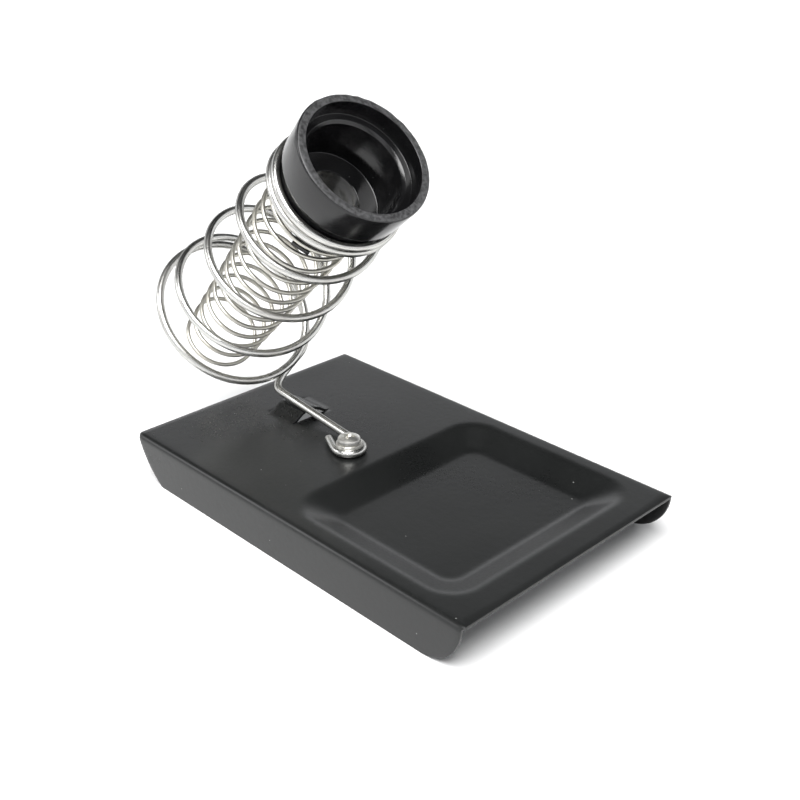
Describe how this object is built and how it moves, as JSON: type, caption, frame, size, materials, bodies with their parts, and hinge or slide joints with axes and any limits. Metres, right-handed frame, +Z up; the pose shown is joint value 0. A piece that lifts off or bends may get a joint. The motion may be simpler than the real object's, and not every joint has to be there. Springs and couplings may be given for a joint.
{
  "type": "soldering iron stand",
  "caption": "Bench stand for a soldering iron: pressed steel base with a cleaning tray and a leaning conical wire coil that carries a moulded socket cup with an inner guard coil.",
  "frame": {"origin": "on the table, under the middle of the object's bounding box", "axes": "+X from the coil towards the tray, +Y across the base to its left side, +Z up from the table"},
  "size_m": [0.183, 0.099, 0.1346],
  "materials": {
    "black_coat": "satin black powder coat",
    "plated_wire": "bright nickel plated spring wire",
    "guard_wire": "bright plated thin spring wire",
    "black_phenolic": "glossy moulded black phenolic",
    "plated_screw": "bright zinc plate",
    "plated_washer": "bright zinc plate",
    "spring_steel": "plain zinc plate",
    "plated_nut": "zinc plate"
  },
  "bodies": {
    "base": {"base_plate": "black_coat", "flat_washer": "plated_washer", "lock_washer": "spring_steel", "hex_nut": "plated_nut"},
    "holder": {"holder_coil": "plated_wire", "guard_coil": "guard_wire", "socket_cup": "black_phenolic"},
    "screw": {"clamp_screw": "plated_screw"}
  },
  "joints": [
    {"name": "holder_swivel", "type": "hinge", "parent": "base", "child": "holder", "pos_m": [-0.00199, -0.0052, 0.0166], "axis": [0, 0, 1], "range_deg": [-30, 30]},
    {"name": "clamp_screw_turn", "type": "hinge", "parent": "base", "child": "screw", "pos_m": [-0.00199, -0.0052, 0.0166], "axis": [0, 0, 1], "range_deg": [0, 90]}
  ]
}
